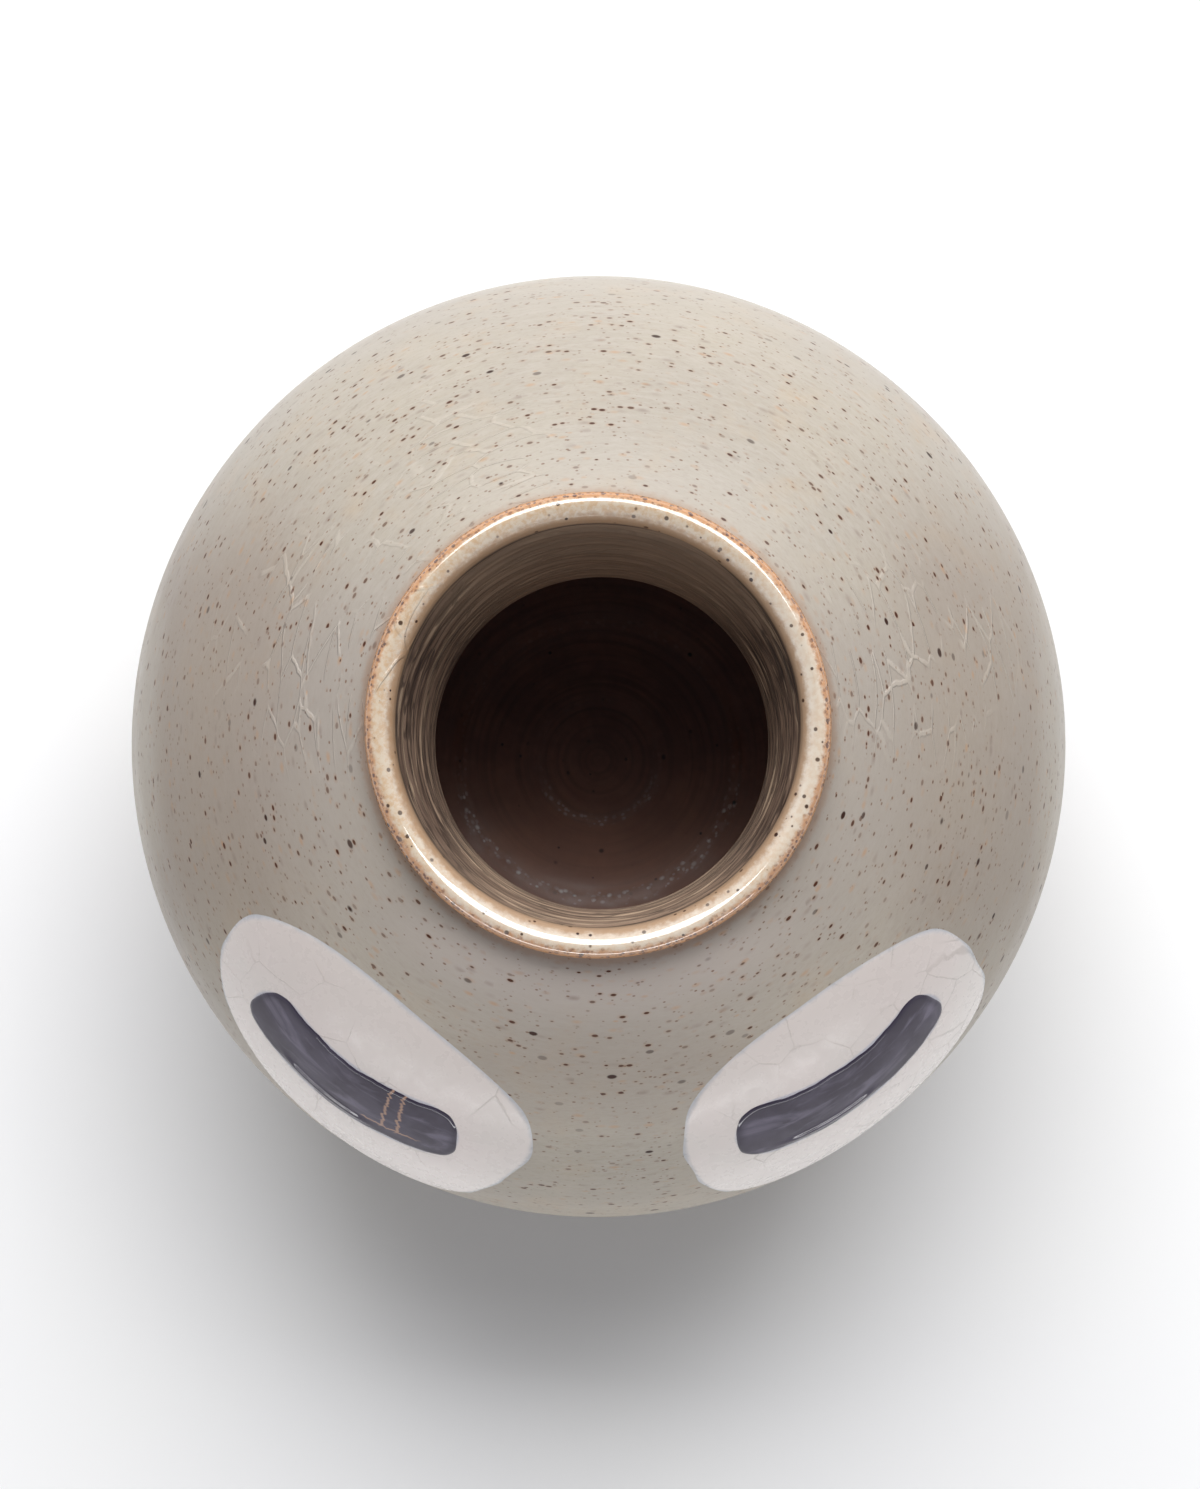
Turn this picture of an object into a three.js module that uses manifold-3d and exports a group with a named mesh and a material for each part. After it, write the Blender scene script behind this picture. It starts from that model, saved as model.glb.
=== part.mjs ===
// Small round-bellied stoneware vase. A thrown belly carries a thrown neck collar, set into the
// opening of the shoulder, and a foot ring under its floor. A speckled glaze coats the outside,
// a dark liner glaze coats the inside, and two white oval panels with one brushed bar each are
// laid into the outer coat on the front of the shoulder.
// Millimetres, +Z up, front towards -Y, origin at the centre of the standing face.

import * as THREE from "three";
import { mergeVertices } from "three/addons/utils/BufferGeometryUtils.js";
import Module from "manifold-3d";

const wasm = await Module();
wasm.setup();

// Belly
const bellyRadius = 55; // widest outside radius, over the glaze
const bowlDrop = 48; // from the widest level down to the pole that the lower curve aims at
const shoulderRise = 38; // from the widest level up to the crown that the shoulder curve aims at
const bellyWall = 4.5;
const floorThickness = 5.5;
const insideFullness = 2.8; // exponent of the inside bowl curve: 2 is an ellipse, more is flatter

// Foot ring
const footRadius = 31; // at its top, where it meets the floor
const footWidth = 6;
const footHeight = 5;
const footTaper = 0.9; // how far the ring's outside draws in on the way down
const footChamfer = 0.8;

// Neck collar
const neckRadius = 24; // at the waist, over the glaze
const neckHeight = 4.6; // from the seat on the shoulder to the top of the lip
const neckFillet = 3; // width of the hollow curve from shoulder to waist
const neckFilletHeight = 1.9;
const lipFlare = 1.15; // how far the lip stands out past the waist
const lipThickness = 3.15; // over the glaze
const seatWidth = 2.9; // level land on the shoulder under the collar
const spigotWall = 4.55; // from the spigot's outside to the throat
const tailLength = 11.5; // how far the collar hangs below the inside of the shoulder
const throatEdge = 1.6;
const boreHollow = 1.5; // exponent of the bore curve: 1 is a straight taper
const boreRingCount = 7;
const boreRingDepth = 0.2;

// Glaze
const glazeThickness = 0.5;
const glazeLineHeight = 4; // bare clay left between the foot ring and the glaze line
const glazeTurnIn = 1.5; // how far the coat runs over the lip down into the bore
const linerThickness = 0.4;
const linerSetback = 0.8; // bare strip between the liner and the shoulder opening
const floorRingCount = 2; // throwing rings that show through the liner on the floor
const floorRingPitch = 8.9;
const floorRingHeight = 0.4;

// Panels and brushed bars
const panelWidth = 41.5;
const panelHeight = 28.9;
const panelFullness = 2.5; // exponent of the oval: 2 is an ellipse
const panelRise = 18.1; // panel centre above the widest level
const leftPanelAzimuth = 34; // degrees from the front
const leftPanelRoll = 8.5; // degrees that the outer end is turned up the slope
const rightPanelAzimuth = 36.6;
const rightPanelRoll = 1;
const barAzimuth = 36; // degrees from the front, to either side
const barLength = 27.6;
const barWidth = 7.9;
const barThickness = 0.35;
const barBend = 32; // radius of the bar's bend, its hollow side up the slope
const barDrop = 0.6; // bar's middle below the panel's middle, down the slope

// Clearances
const skinGap = 0.05; // between a glaze skin and what it lies on
const luteGap = 0.3; // slip joint round the spigot
const inlayGap = 0.3; // seam round a panel

// Facets
const turnSteps = 36;
const bowlSteps = 6;
const shoulderSteps = 8;
const filletSteps = 4;
const flareSteps = 3;
const lipSteps = 6;
const panelSteps = 8;
const barSteps = 6;

// Levels and clay radii that follow from the sizes above
const coatDepth = glazeThickness + skinGap;
const clayRadius = bellyRadius - coatDepth;
const clayDrop = bowlDrop - coatDepth;
const bellyLevel = footHeight + clayDrop * Math.sqrt(1 - (footRadius / clayRadius) ** 2);
const floorLevel = footHeight + floorThickness;
const clayRise = shoulderRise - coatDepth;
const insideRadius = clayRadius - bellyWall;
const insideRise = clayRise - bellyWall;
const waistRadius = neckRadius - coatDepth;
const seatRadius = waistRadius + neckFillet;
const openingRadius = seatRadius - seatWidth;
const spigotRadius = openingRadius - luteGap;
const throatRadius = spigotRadius - spigotWall;
const seatLevel = domeHeight(clayRadius, clayRise, seatRadius);
const openingLevel = domeHeight(insideRadius, insideRise, openingRadius);
const throatLevel = openingLevel - tailLength;
const lipLevel = seatLevel + neckHeight;
const lipRound = lipThickness / 2 - coatDepth;
const lipCentre = neckRadius + lipFlare - lipThickness / 2;
const lipSpring = lipLevel - coatDepth - lipRound;

function domeHeight(radius, rise, r) {
  return bellyLevel + rise * Math.sqrt(1 - (r / radius) ** 2);
}

// Points of a run, from the share of the way along it
function run(steps, point) {
  return Array.from({ length: steps + 1 }, (_, i) => point(i / steps));
}

// Point of the outer lower half at an angle below the widest circle
function bowlPoint(angle) {
  return [clayRadius * Math.cos(angle), bellyLevel - clayDrop * Math.sin(angle)];
}

// Upper half of the belly from the widest circle in to a smaller radius
function shoulderCurve(widest, rise, inner, t) {
  const angle = t * Math.acos(inner / widest);
  return [widest * Math.cos(angle), bellyLevel + rise * Math.sin(angle)];
}

// Point of the inside lower half at a radius
function insidePoint(r) {
  const share = (1 - (r / insideRadius) ** insideFullness) ** (1 / insideFullness);
  return [r, bellyLevel - (bellyLevel - floorLevel) * share];
}

// Moves a path square to itself, to the right of its direction of travel
function offsetPath(path, distance) {
  const normals = path.slice(1).map(([r, z], i) => {
    const along = new THREE.Vector2(r - path[i][0], z - path[i][1]).normalize();
    return new THREE.Vector2(along.y, -along.x);
  });
  return path.map(([r, z], i) => {
    const before = normals[Math.max(0, i - 1)];
    const after = normals[Math.min(i, normals.length - 1)];
    const mitre = before.clone().add(after).normalize();
    const reach = distance / mitre.dot(after);
    return [r + mitre.x * reach, z + mitre.y * reach];
  });
}

// Keeps only the positions, joins equal ones and drops the triangles that collapse on the axis
function weld(geometry) {
  geometry.deleteAttribute("normal");
  geometry.deleteAttribute("uv");
  const welded = mergeVertices(geometry);
  const index = welded.index.array;
  const kept = [];
  for (let i = 0; i < index.length; i += 3) {
    const [a, b, c] = [index[i], index[i + 1], index[i + 2]];
    if (a !== b && b !== c && c !== a) kept.push(a, b, c);
  }
  welded.setIndex(kept);
  welded.computeVertexNormals();
  return welded;
}

// Turns a profile about Z. The profile runs up the outside and down the inside.
function revolve(profile) {
  const points = profile.map(([r, z]) => new THREE.Vector2(r, z));
  const lathe = new THREE.LatheGeometry(points, turnSteps);
  lathe.rotateX(Math.PI / 2);
  return weld(lathe);
}

function closed(profile) {
  return [...profile, profile[0]];
}

function toSolid(geometry) {
  return new wasm.Manifold(new wasm.Mesh({
    numProp: 3,
    vertProperties: new Float32Array(geometry.attributes.position.array),
    triVerts: new Uint32Array(geometry.index.array),
  }));
}

function toGeometry(solid) {
  const mesh = solid.getMesh();
  const geometry = new THREE.BufferGeometry();
  geometry.setAttribute("position", new THREE.BufferAttribute(mesh.vertProperties, 3));
  geometry.setIndex(new THREE.BufferAttribute(mesh.triVerts, 1));
  geometry.computeVertexNormals();
  return geometry;
}

// Runs of the clay surface that the skins share with the thrown pieces
const footAngle = Math.acos(footRadius / clayRadius);
const glazeAngle = Math.asin((bellyLevel - footHeight - glazeLineHeight) / clayDrop);
const bareBowl = run(1, (t) => bowlPoint(footAngle + (glazeAngle - footAngle) * t));
const coatedBowl = run(bowlSteps, (t) => bowlPoint(glazeAngle * (1 - t)));
const shoulder = run(shoulderSteps, (t) => shoulderCurve(clayRadius, clayRise, seatRadius, t));
const waistLevel = seatLevel + neckFilletHeight;

// The hollow under the neck leaves the shoulder along the shoulder's own slope
const seatDepth = Math.sqrt(1 - (seatRadius / clayRadius) ** 2);
const seatSlope = clayRise * seatRadius / (clayRadius ** 2 * seatDepth);
const neckHollow = new THREE.QuadraticBezierCurve(
  new THREE.Vector2(seatRadius, seatLevel),
  new THREE.Vector2(waistRadius, seatLevel + neckFillet * seatSlope),
  new THREE.Vector2(waistRadius, waistLevel),
);
const fillet = neckHollow.getPoints(filletSteps).map((point) => point.toArray());
const flare = run(flareSteps, (t) => {
  return [waistRadius + lipFlare * t ** 2, waistLevel + (lipSpring - waistLevel) * t];
});
const lip = run(lipSteps, (t) => {
  const angle = t * Math.PI;
  return [lipCentre + lipRound * Math.cos(angle), lipSpring + lipRound * Math.sin(angle)];
});
const boreTop = lipCentre - lipRound;
const boreDepth = lipSpring - throatLevel;

function boreCurve(t) {
  return [boreTop + (throatRadius - boreTop) * (1 - (1 - t) ** boreHollow), lipSpring - boreDepth * t];
}

const glazeEnd = glazeTurnIn / boreDepth;
const coatedBore = [boreCurve(glazeEnd)];
const ringedBore = run(boreRingCount * 2, (t) => {
  const [r, z] = boreCurve(glazeEnd + t * (1 - glazeEnd));
  const groove = Math.round(t * boreRingCount * 2) % 2;
  return [r + groove * boreRingDepth, z];
}).slice(1);
const neckOutside = [...fillet, ...flare.slice(1), ...lip.slice(1)];
const bellyOutside = [...coatedBowl, ...shoulder.slice(1)];
const insideShoulder = run(shoulderSteps - 1, (t) => {
  return shoulderCurve(insideRadius, insideRise, openingRadius + linerSetback, 1 - t);
});
const ringedRadius = (floorRingCount + 0.5) * floorRingPitch;
const ringedAngle = Math.acos((ringedRadius / insideRadius) ** (insideFullness / 2));
const insideBowl = run(bowlSteps, (t) => {
  return insidePoint(insideRadius * Math.cos(t * ringedAngle) ** (2 / insideFullness));
}).slice(1);
const ringedFloor = run(2 * floorRingCount + 1, (t) => insidePoint(ringedRadius * (1 - t))).slice(1);
const inside = [...insideShoulder, ...insideBowl, ...ringedFloor];

// Thrown and luted clay
const belly = revolve([
  [0, footHeight],
  ...bareBowl,
  ...bellyOutside.slice(1),
  [openingRadius, seatLevel],
  [openingRadius, openingLevel],
  ...inside,
]);

const neckCollar = revolve(closed([
  ...neckOutside,
  ...coatedBore,
  ...ringedBore,
  [throatRadius + throatEdge, throatLevel],
  [spigotRadius, openingLevel],
  [spigotRadius, seatLevel],
]));

const footInner = footRadius - footWidth;
const footRing = revolve(closed([
  [footInner + footChamfer, 0],
  [footRadius - footTaper - footChamfer, 0],
  [footRadius - footTaper, footChamfer],
  [footRadius, footHeight],
  [footInner, footHeight],
  [footInner, footChamfer],
]));

// Glaze skins
const coatedClay = [...bellyOutside, ...neckOutside.slice(1), ...coatedBore];
const fullCoat = toSolid(revolve(closed([
  ...offsetPath(coatedClay, coatDepth),
  ...offsetPath(coatedClay, skinGap).reverse(),
])));

const wallPoints = inside.length - ringedFloor.length;
const linerBack = offsetPath(inside, skinGap);
const linerFace = offsetPath(inside, skinGap + linerThickness).map(([r, z], i) => {
  const onRing = i >= wallPoints && (i - wallPoints) % 2 === 0;
  return [r, onRing ? z + floorRingHeight : z];
});
linerBack.at(-1)[0] = 0;
linerFace.at(-1)[0] = 0;
const linerGlaze = revolve([...linerBack.reverse(), ...linerFace]);

// Frame on the outer coat at a panel's centre: X level, Y up the slope, Z square to the coat
const panelRadius = bellyRadius * Math.sqrt(1 - (panelRise / shoulderRise) ** 2);
const panelTilt = Math.atan2(panelRise / shoulderRise ** 2, panelRadius / bellyRadius ** 2);

function panelFrame(azimuth, roll) {
  const turn = THREE.MathUtils.degToRad(azimuth);
  const out = new THREE.Vector3(Math.sin(turn), -Math.cos(turn), 0);
  const up = new THREE.Vector3(0, 0, 1);
  const normal = out.clone().multiplyScalar(Math.cos(panelTilt));
  normal.addScaledVector(up, Math.sin(panelTilt));
  const level = new THREE.Vector3(Math.cos(turn), Math.sin(turn), 0);
  const slope = normal.clone().cross(level);
  const centre = out.multiplyScalar(panelRadius).addScaledVector(up, bellyLevel + panelRise);
  const frame = new THREE.Matrix4().makeBasis(level, slope, normal).setPosition(centre);
  return frame.multiply(new THREE.Matrix4().makeRotationZ(THREE.MathUtils.degToRad(roll)));
}

// Straight cutter of a flat outline, reaching in and out of the coat along its local Z
function cutter(shape, azimuth, roll) {
  const reach = panelWidth / 2;
  const prism = new THREE.ExtrudeGeometry(shape, {
    depth: 2 * reach,
    bevelEnabled: false,
    curveSegments: barSteps,
  });
  prism.translate(0, 0, -reach);
  prism.applyMatrix4(panelFrame(azimuth, roll));
  return toSolid(weld(prism));
}

function ovalShape(margin) {
  const power = 2 / panelFullness;
  const corners = run(4 * panelSteps, (t) => {
    const across = Math.cos(t * 2 * Math.PI);
    const up = Math.sin(t * 2 * Math.PI);
    return new THREE.Vector2(
      (panelWidth / 2 + margin) * Math.sign(across) * Math.abs(across) ** power,
      (panelHeight / 2 + margin) * Math.sign(up) * Math.abs(up) ** power,
    );
  });
  return new THREE.Shape(corners.slice(0, -1));
}

// Bar with round ends, bent round a centre up the slope
function barShape() {
  const half = barWidth / 2;
  const centre = barBend - barDrop;
  const sweep = (barLength - barWidth) / barBend / 2;
  const start = -Math.PI / 2 - sweep;
  const end = -Math.PI / 2 + sweep;
  const endX = barBend * Math.cos(end);
  const endY = centre + barBend * Math.sin(end);
  const shape = new THREE.Shape();
  shape.absarc(0, centre, barBend + half, start, end, false);
  shape.absarc(endX, endY, half, end, end + Math.PI, false);
  shape.absarc(0, centre, barBend - half, end, start, true);
  shape.absarc(-endX, endY, half, start + Math.PI, start + 2 * Math.PI, false);
  return shape;
}

const raisedSkin = toSolid(revolve(closed([
  ...offsetPath(bellyOutside, coatDepth + skinGap + barThickness),
  ...offsetPath(bellyOutside, coatDepth + skinGap).reverse(),
])));

function panelAt(azimuth, roll) {
  return toGeometry(fullCoat.intersect(cutter(ovalShape(0), azimuth, roll)));
}

function barAt(azimuth) {
  return toGeometry(raisedSkin.intersect(cutter(barShape(), azimuth, 0)));
}

const outerGlaze = toGeometry(
  fullCoat
    .subtract(cutter(ovalShape(inlayGap), -leftPanelAzimuth, -leftPanelRoll))
    .subtract(cutter(ovalShape(inlayGap), rightPanelAzimuth, rightPanelRoll)),
);

// Colours of the clay and the glazes
const bareClay = { color: 0xb28c68, roughness: 0.85, metalness: 0 };
const washedClay = { color: 0x8c7562, roughness: 0.7, metalness: 0 };
const creamGlaze = { color: 0xb5aa9c, roughness: 0.25, metalness: 0 };
const brownLiner = { color: 0x33231c, roughness: 0.2, metalness: 0 };
const whiteGlaze = { color: 0xcfc8c4, roughness: 0.3, metalness: 0 };
const slateGlaze = { color: 0x5d5863, roughness: 0.2, metalness: 0 };

const vase = new THREE.Group();

function place(name, geometry, finish) {
  const mesh = new THREE.Mesh(geometry, new THREE.MeshStandardMaterial(finish));
  mesh.name = name;
  vase.add(mesh);
}

place("belly", belly, bareClay);
place("neck_collar", neckCollar, washedClay);
place("foot_ring", footRing, bareClay);
place("outer_glaze", outerGlaze, creamGlaze);
place("liner_glaze", linerGlaze, brownLiner);
place("panel_left", panelAt(-leftPanelAzimuth, -leftPanelRoll), whiteGlaze);
place("panel_right", panelAt(rightPanelAzimuth, rightPanelRoll), whiteGlaze);
place("bar_left", barAt(-barAzimuth), slateGlaze);
place("bar_right", barAt(barAzimuth), slateGlaze);

export default vase;
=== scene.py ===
"""Small round-bellied stoneware vase, seen from above on a white table."""

import math

import bpy
import numpy as np
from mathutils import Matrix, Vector


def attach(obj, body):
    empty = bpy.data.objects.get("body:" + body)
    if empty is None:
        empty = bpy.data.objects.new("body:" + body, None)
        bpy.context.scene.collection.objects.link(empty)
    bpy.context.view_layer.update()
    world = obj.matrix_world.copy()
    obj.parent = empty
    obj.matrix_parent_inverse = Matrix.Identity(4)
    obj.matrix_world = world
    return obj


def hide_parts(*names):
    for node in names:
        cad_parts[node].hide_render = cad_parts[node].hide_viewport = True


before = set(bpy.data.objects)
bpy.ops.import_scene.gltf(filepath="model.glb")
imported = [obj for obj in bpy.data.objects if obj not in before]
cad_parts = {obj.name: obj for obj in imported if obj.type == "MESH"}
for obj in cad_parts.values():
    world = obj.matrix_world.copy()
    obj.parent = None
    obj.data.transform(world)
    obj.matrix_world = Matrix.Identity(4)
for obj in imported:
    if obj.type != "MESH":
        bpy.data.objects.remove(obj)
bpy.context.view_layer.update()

# Sizes of the vase in millimetres and degrees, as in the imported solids
BELLY_RADIUS = 55.0
BOWL_DROP = 48.0
SHOULDER_RISE = 38.0
BELLY_WALL = 4.5
FLOOR_THICKNESS = 5.5
INSIDE_FULLNESS = 2.8
FOOT_RADIUS = 31.0
FOOT_WIDTH = 6.0
FOOT_HEIGHT = 5.0
FOOT_TAPER = 0.9
NECK_RADIUS = 24.0
NECK_HEIGHT = 4.6
NECK_FILLET = 3.0
NECK_FILLET_HEIGHT = 1.9
LIP_FLARE = 1.15
LIP_THICKNESS = 3.15
SEAT_WIDTH = 2.9
SPIGOT_WALL = 4.55
TAIL_LENGTH = 11.5
THROAT_EDGE = 1.6
BORE_HOLLOW = 1.5
GLAZE_THICKNESS = 0.5
GLAZE_LINE_HEIGHT = 4.0
GLAZE_TURN_IN = 1.5
LINER_THICKNESS = 0.4
LINER_SETBACK = 0.8
PANEL_WIDTH = 41.5
PANEL_HEIGHT = 28.9
PANEL_FULLNESS = 2.5
PANEL_RISE = 18.1
LEFT_PANEL_AZIMUTH = 34.0
LEFT_PANEL_ROLL = 8.5
RIGHT_PANEL_AZIMUTH = 36.6
RIGHT_PANEL_ROLL = 1.0
BAR_AZIMUTH = 36.0
BAR_LENGTH = 27.6
BAR_WIDTH = 7.9
BAR_BEND = 32.0
BAR_DROP = 0.6
SKIN_GAP = 0.05
LUTE_GAP = 0.3

# Levels and radii that follow from the sizes
COAT_DEPTH = GLAZE_THICKNESS + SKIN_GAP
CLAY_RADIUS = BELLY_RADIUS - COAT_DEPTH
CLAY_DROP = BOWL_DROP - COAT_DEPTH
CLAY_RISE = SHOULDER_RISE - COAT_DEPTH
BELLY_LEVEL = FOOT_HEIGHT + CLAY_DROP * math.sqrt(1 - (FOOT_RADIUS / CLAY_RADIUS) ** 2)
FLOOR_LEVEL = FOOT_HEIGHT + FLOOR_THICKNESS
INSIDE_RADIUS = CLAY_RADIUS - BELLY_WALL
INSIDE_RISE = CLAY_RISE - BELLY_WALL
WAIST_RADIUS = NECK_RADIUS - COAT_DEPTH
SEAT_RADIUS = WAIST_RADIUS + NECK_FILLET
OPENING_RADIUS = SEAT_RADIUS - SEAT_WIDTH
SPIGOT_RADIUS = OPENING_RADIUS - LUTE_GAP
THROAT_RADIUS = SPIGOT_RADIUS - SPIGOT_WALL
SEAT_LEVEL = BELLY_LEVEL + CLAY_RISE * math.sqrt(1 - (SEAT_RADIUS / CLAY_RADIUS) ** 2)
OPENING_LEVEL = BELLY_LEVEL + INSIDE_RISE * math.sqrt(1 - (OPENING_RADIUS / INSIDE_RADIUS) ** 2)
THROAT_LEVEL = OPENING_LEVEL - TAIL_LENGTH
WAIST_LEVEL = SEAT_LEVEL + NECK_FILLET_HEIGHT
LIP_LEVEL = SEAT_LEVEL + NECK_HEIGHT
LIP_ROUND = LIP_THICKNESS / 2 - COAT_DEPTH
LIP_CENTRE = NECK_RADIUS + LIP_FLARE - LIP_THICKNESS / 2
LIP_SPRING = LIP_LEVEL - COAT_DEPTH - LIP_ROUND
BORE_TOP = LIP_CENTRE - LIP_ROUND
BORE_DEPTH = LIP_SPRING - THROAT_LEVEL
GLAZE_ANGLE = math.asin((BELLY_LEVEL - FOOT_HEIGHT - GLAZE_LINE_HEIGHT) / CLAY_DROP)
GLAZE_END = GLAZE_TURN_IN / BORE_DEPTH
FOOT_ANGLE = math.acos(FOOT_RADIUS / CLAY_RADIUS)
PANEL_RADIUS = BELLY_RADIUS * math.sqrt(1 - (PANEL_RISE / SHOULDER_RISE) ** 2)
PANEL_TILT = math.atan2(PANEL_RISE / SHOULDER_RISE ** 2, PANEL_RADIUS / BELLY_RADIUS ** 2)
BAR_CENTRE = BAR_BEND - BAR_DROP
BAR_SWEEP = (BAR_LENGTH - BAR_WIDTH) / BAR_BEND / 2

# Number of faces: round the axis, and along and across the panels and bars
TURN_STEPS = 240
PANEL_STEPS = 320
PANEL_RINGS = 72
BAR_SIDE_STEPS = 90
BAR_CAP_STEPS = 36
BAR_RINGS = 30

# Crest of the lip: how far it leans outward, and its fullness, which is 2 for a half circle
LIP_LEAN = 0.33
LIP_FULLNESS = 1.6

# How far the thrown belly and lip run out of true. Waves have a size, an order and a shift
BELLY_OVAL = 0.24
BELLY_WOBBLE = 0.06
LIP_DIP = 0.09
LIP_WAVES = ((0.06, 2, 0.5), (0.03, 3, 0.0))
SAG_DEPTH = 6

# Worn corners and hollow side of the foot
FOOT_WEAR = 0.8
FOOT_WEAR_WAVES = ((0.1, 3, 0.4),)
FOOT_HOLLOW = 0.12

# Throwing rings of the bore, as height, pitch and turns, and the place of the throat off the axis
BORE_RINGS = ((0.05, 2.6, 1), (0.03, 1.1, 2))
BORE_SETBACK = 0.08
BORE_WAVER = 0.04
RINGS_BEGIN = (1.6, 3.0)
RINGS_FADE = 1.5
THROAT_OFFSET = (0.43, -0.88)
THROAT_WEAR = 0.35

# Uneven ends of the glaze, the bead at its lower end and its throwing rings
GLAZE_LINE_WAVES = ((0.010, 3, 1.0), (0.007, 7, 0.0), (0.004, 13, 2.0))
GLAZE_END_WAVES = ((0.12, 4, 0.0), (0.08, 9, 1.0))
GLAZE_BEAD = 0.5
GLAZE_BEAD_PLACE = 1.4
GLAZE_ROUNDING = 0.9
GLAZE_RINGS = 0.03

# Low steps on the thrown floor, as radius, rise and half width, and how they wander and break
LINER_STEPS = ((7.5, 0.12, 0.8), (17.4, 0.46, 1.1))
STEP_DRIFT = ((0.25, 1, 0.0), (0.2, 2, 1.0))
STEP_BREAKS = ((0.08, 7, 0.0), (0.08, 13, 1.0))
INSIDE_RINGS = 0.12

# Low waves that take the outline of each panel off the true oval: order, cosine and sine share
LAID_BY_HAND = {
    "left": ((1, 0.01, 0.05), (2, 0.0, -0.034), (3, -0.028, 0.03)),
    "right": ((1, -0.02, -0.018), (2, 0.0, 0.021), (3, 0.03, 0.0)),
}
PANEL_WAVES = {
    "left": ((0.004, 4, 0.6), (0.005, 5, 1.2)),
    "right": ((0.004, 4, 2.1), (0.005, 5, 4.2)),
}

# Corners of each panel that reach further out or fall short: turn, share and width
CORNERS = {
    "left": ((3.0, 0.05, 0.34), (0.0, -0.06, 0.5)),
    "right": ((0.0, -0.08, 0.5),),
}

# Panel edge: overlap on the coat, depth of the rim, rise and width of the soft edge, depth below
PANEL_OVERLAP = 0.2
PANEL_RIM_DEPTH = 0.06
PANEL_EDGE_RISE = 0.15
PANEL_EDGE_WIDTH = 0.7
PANEL_ROOT = 0.4

# Taper and swell of each brush stroke, its ragged edge, and its ends, which are nearly square
BRUSHED = {"left": (0.06, 0.09), "right": (-0.16, 0.04)}
BAR_WAVES = {
    "left": ((0.12, 5, -BAR_AZIMUTH), (0.05, 13, 0.0), (0.02, 37, 0.0)),
    "right": ((0.12, 5, BAR_AZIMUTH), (0.05, 13, 0.0), (0.02, 37, 0.0)),
}
BAR_END_POWER = 0.68

# Height of each bar, and the bead along its lower side
BAR_LIFT = 0.02
BAR_CROWN = 0.24
BAR_CROWN_WIDTH = 0.5
BAR_ROOT = 0.2
BEAD_MIDDLE = {"left": -1.2, "right": -3.7}
BEAD_REACH = (7.0, 3.5)
BEAD_HEIGHT = 0.20
BEAD_INSET = 1.1
BEAD_WIDTH = 0.45

# Screen colours of the surfaces, each part from 0 to 255
SPECKLED = {
    "cream": (168, 160, 148),
    "warm_cream": (174, 165, 150),
    "cloud": (182, 158, 128),
    "streak": (188, 180, 172),
    "grain": (144, 130, 120),
    "painted_side_shade": (136, 122, 112),
    "painted_neck_shade": (153, 145, 139),
    "painted_lip_front_light": (182, 172, 166),
    "front": (136, 124, 115),
    "rust": (178, 128, 78),
    "smear": (116, 96, 88),
    "dust": (104, 68, 44),
    "halo": (152, 106, 66),
    "iron": (68, 32, 14),
    "large_iron": (48, 22, 10),
    "craze": (224, 214, 200),
    "neck_ring_shade": (150, 110, 80),
    "lip": (208, 193, 173),
    "warm_lip": (198, 169, 138),
    "painted_lip_light": (220, 210, 197),
    "outer_lip": (184, 128, 76),
    "inner_lip": (164, 132, 104),
    "pepper": (84, 42, 20),
    "dots": (54, 28, 14),
    "turned_in_and_shade": (92, 78, 68),
}
WASHED = {
    "clay": (112, 91, 78),
    "light_clay": (138, 115, 98),
    "light_lines": (192, 168, 142),
    "dark_lines": (72, 56, 48),
    "tight_lines": (52, 39, 33),
    "swirls": (46, 34, 29),
    "top": (92, 78, 70),
    "painted_bore_light": (190, 164, 140),
}
STONEWARE = {
    "buff": (196, 168, 138),
    "tan": (172, 134, 98),
    "rings": (150, 112, 80),
    "grit": (214, 190, 160),
    "iron": (70, 42, 28),
}
LINER = {
    "brown": (122, 74, 57),
    "light_brown": (144, 94, 74),
    "rings": (92, 55, 43),
    "front": (188, 138, 114),
    "pits": (16, 10, 9),
    "painted_glints": (240, 233, 230),
}
WHITE = {
    "white": (224, 214, 210),
    "cool_white": (220, 213, 208),
    "mottle": (217, 206, 202),
    "painted_low_light": (245, 238, 233),
    "painted_top_shade": (204, 194, 189),
    "cracks": (160, 150, 142),
    "bar_halo": (146, 154, 178),
    "rim": (150, 158, 168),
}
SLATE = {
    "slate": (59, 52, 66),
    "light_slate": (77, 71, 86),
    "streaks": (118, 112, 130),
    "edge": (48, 42, 58),
    "cracks": (186, 150, 128),
}
TABLE = {
    "white": (239, 239, 240),
    "bright_white": (240, 240, 240),
}

# Camera of the photograph: place in metres, tilt in degrees and lens in millimetres
CAMERA_PLACE = (0.00022, -0.02672, 0.48562)
CAMERA_TILT = 3.462
CAMERA_LENS = 91.385
CAMERA_SENSOR = 36.0

# Half the width of the table in metres
TABLE_HALF = 2.5

# Soft boxes in metres: place, target, width, height, brightness and whether the gloss mirrors them
SOFT_BOXES = {
    "back_softbox": ((0.08, 0.80, 1.01), (0.0, 0.0, 0.06), 1.3, 0.8, 6.2, True),
    "top_softbox": ((0.05, 0.50, 1.29), (0.0, 0.0, 0.06), 1.2, 0.42, 2.1, False),
    "front_strip": ((0.0, -1.1, 0.17), (0.0, 0.0, 0.05), 2.2, 0.09, 9.0, True),
}

# Brightness of the room: the fill near the horizon and overhead, and what the gloss mirrors
ROOM_TINT = (0.94, 0.955, 1.0, 1.0)
FILL_LOW = 0.08
FILL_HIGH = 0.28
FRONT_FILL = 0.5
BACK_FILL = 1.1
WALL_GLEAM = 0.8
CEILING_GLEAM = 0.06


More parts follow.
